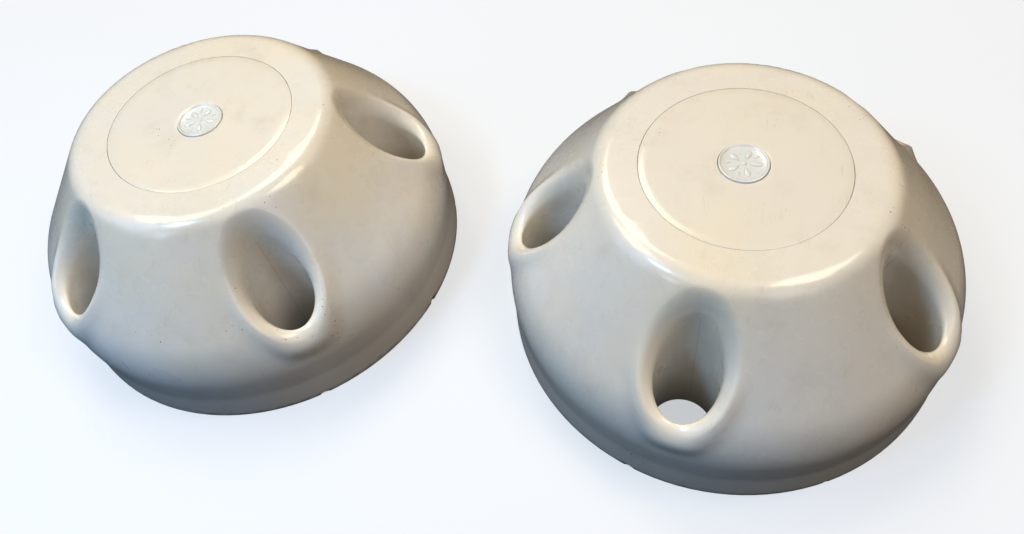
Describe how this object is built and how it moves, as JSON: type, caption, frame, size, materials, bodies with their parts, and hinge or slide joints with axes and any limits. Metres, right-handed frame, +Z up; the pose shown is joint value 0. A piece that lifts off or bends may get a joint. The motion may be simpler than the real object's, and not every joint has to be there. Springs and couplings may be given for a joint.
{
  "type": "wheel cover set",
  "caption": "Pair of domed moulded wheel covers with deep oval pockets round a conical flank, a flat snap-in centre disc with a small rosette, and sprung clips inside the skirt.",
  "frame": {"origin": "on the ground, midway between the two covers' axes", "axes": "+X from the left cover to the right cover, +Z up along the covers' axes, which is outwards from the wheel"},
  "size_m": [0.654, 0.3, 0.1415],
  "materials": {
    "shell_plastic": "aged cream white, glossy, faintly scuffed",
    "disc_plastic": "aged cream white, warmer than the shell, semi-gloss",
    "medallion_plastic": "cool white",
    "spring_steel": "dark tempered spring steel",
    "zinc_screw": "zinc plated"
  },
  "bodies": {
    "left_clip_1_spring": {"left_clip_1_leg": "spring_steel"},
    "left_clip_2_spring": {"left_clip_2_leg": "spring_steel"},
    "left_clip_3_spring": {"left_clip_3_leg": "spring_steel"},
    "left_clip_4_spring": {"left_clip_4_leg": "spring_steel"},
    "left_clip_5_spring": {"left_clip_5_leg": "spring_steel"},
    "left_cover": {"left_shell": "shell_plastic", "left_clip_1_foot": "spring_steel", "left_clip_1_screw": "zinc_screw", "left_clip_2_foot": "spring_steel", "left_clip_2_screw": "zinc_screw", "left_clip_3_foot": "spring_steel", "left_clip_3_screw": "zinc_screw", "left_clip_4_foot": "spring_steel", "left_clip_4_screw": "zinc_screw", "left_clip_5_foot": "spring_steel", "left_clip_5_screw": "zinc_screw"},
    "left_disc": {"left_centre_disc": "disc_plastic", "left_medallion": "medallion_plastic"},
    "right_clip_1_spring": {"right_clip_1_leg": "spring_steel"},
    "right_clip_2_spring": {"right_clip_2_leg": "spring_steel"},
    "right_clip_3_spring": {"right_clip_3_leg": "spring_steel"},
    "right_clip_4_spring": {"right_clip_4_leg": "spring_steel"},
    "right_clip_5_spring": {"right_clip_5_leg": "spring_steel"},
    "right_cover": {"right_shell": "shell_plastic", "right_clip_1_foot": "spring_steel", "right_clip_1_screw": "zinc_screw", "right_clip_2_foot": "spring_steel", "right_clip_2_screw": "zinc_screw", "right_clip_3_foot": "spring_steel", "right_clip_3_screw": "zinc_screw", "right_clip_4_foot": "spring_steel", "right_clip_4_screw": "zinc_screw", "right_clip_5_foot": "spring_steel", "right_clip_5_screw": "zinc_screw"},
    "right_disc": {"right_centre_disc": "disc_plastic", "right_medallion": "medallion_plastic"}
  },
  "joints": [
    {"name": "left_clip_1_flex", "type": "hinge", "parent": "left_cover", "child": "left_clip_1_spring", "pos_m": [-0.05518, -0.03202, 0.0152], "axis": [-0.2538, -0.9673, 0], "range_deg": [0, 12], "stiffness_Nm_per_rad": 1.5},
    {"name": "left_clip_2_flex", "type": "hinge", "parent": "left_cover", "child": "left_clip_2_spring", "pos_m": [-0.10907, 0.1062, 0.0152], "axis": [0.8415, -0.5402, 0], "range_deg": [0, 12], "stiffness_Nm_per_rad": 1.5},
    {"name": "left_clip_3_flex", "type": "hinge", "parent": "left_cover", "child": "left_clip_3_spring", "pos_m": [-0.25718, 0.09766, 0.0152], "axis": [0.7738, 0.6334, 0], "range_deg": [0, 12], "stiffness_Nm_per_rad": 1.5},
    {"name": "left_clip_4_flex", "type": "hinge", "parent": "left_cover", "child": "left_clip_4_spring", "pos_m": [-0.29483, -0.04584, 0.0152], "axis": [-0.3633, 0.9317, 0], "range_deg": [0, 12], "stiffness_Nm_per_rad": 1.5},
    {"name": "left_clip_5_flex", "type": "hinge", "parent": "left_cover", "child": "left_clip_5_spring", "pos_m": [-0.16998, -0.12599, 0.0152], "axis": [-0.9983, -0.0576, 0], "range_deg": [0, 12], "stiffness_Nm_per_rad": 1.5},
    {"name": "left_disc_release", "type": "slide", "parent": "left_cover", "child": "left_disc", "axis": [0, 0, 1], "range_m": [0, 0.03]},
    {"name": "right_clip_1_flex", "type": "hinge", "parent": "right_cover", "child": "right_clip_1_spring", "pos_m": [0.23218, -0.11362, 0.0152], "axis": [-0.9003, -0.4352, 0], "range_deg": [0, 12], "stiffness_Nm_per_rad": 1.5},
    {"name": "right_clip_2_flex", "type": "hinge", "parent": "right_cover", "child": "right_clip_2_spring", "pos_m": [0.30228, 0.01713, 0.0152], "axis": [0.1357, -0.9907, 0], "range_deg": [0, 12], "stiffness_Nm_per_rad": 1.5},
    {"name": "right_clip_3_flex", "type": "hinge", "parent": "right_cover", "child": "right_clip_3_spring", "pos_m": [0.1996, 0.1242, 0.0152], "axis": [0.9842, -0.1771, 0], "range_deg": [0, 12], "stiffness_Nm_per_rad": 1.5},
    {"name": "right_clip_4_flex", "type": "hinge", "parent": "right_cover", "child": "right_clip_4_spring", "pos_m": [0.06603, 0.05964, 0.0152], "axis": [0.4726, 0.8813, 0], "range_deg": [0, 12], "stiffness_Nm_per_rad": 1.5},
    {"name": "right_clip_5_flex", "type": "hinge", "parent": "right_cover", "child": "right_clip_5_spring", "pos_m": [0.08616, -0.08735, 0.0152], "axis": [-0.6921, 0.7218, 0], "range_deg": [0, 12], "stiffness_Nm_per_rad": 1.5},
    {"name": "right_disc_release", "type": "slide", "parent": "right_cover", "child": "right_disc", "axis": [0, 0, 1], "range_m": [0, 0.03]},
    {"name": "right_cover_lift", "type": "slide", "parent": "left_cover", "child": "right_cover", "axis": [0, 0, 1], "range_m": [0, 0.16]}
  ],
  "couplings": [
    {"joint": "left_clip_2_flex", "follows": "left_clip_1_flex", "ratio": 1},
    {"joint": "left_clip_3_flex", "follows": "left_clip_1_flex", "ratio": 1},
    {"joint": "left_clip_4_flex", "follows": "left_clip_1_flex", "ratio": 1},
    {"joint": "left_clip_5_flex", "follows": "left_clip_1_flex", "ratio": 1},
    {"joint": "right_clip_2_flex", "follows": "right_clip_1_flex", "ratio": 1},
    {"joint": "right_clip_3_flex", "follows": "right_clip_1_flex", "ratio": 1},
    {"joint": "right_clip_4_flex", "follows": "right_clip_1_flex", "ratio": 1},
    {"joint": "right_clip_5_flex", "follows": "right_clip_1_flex", "ratio": 1}
  ]
}
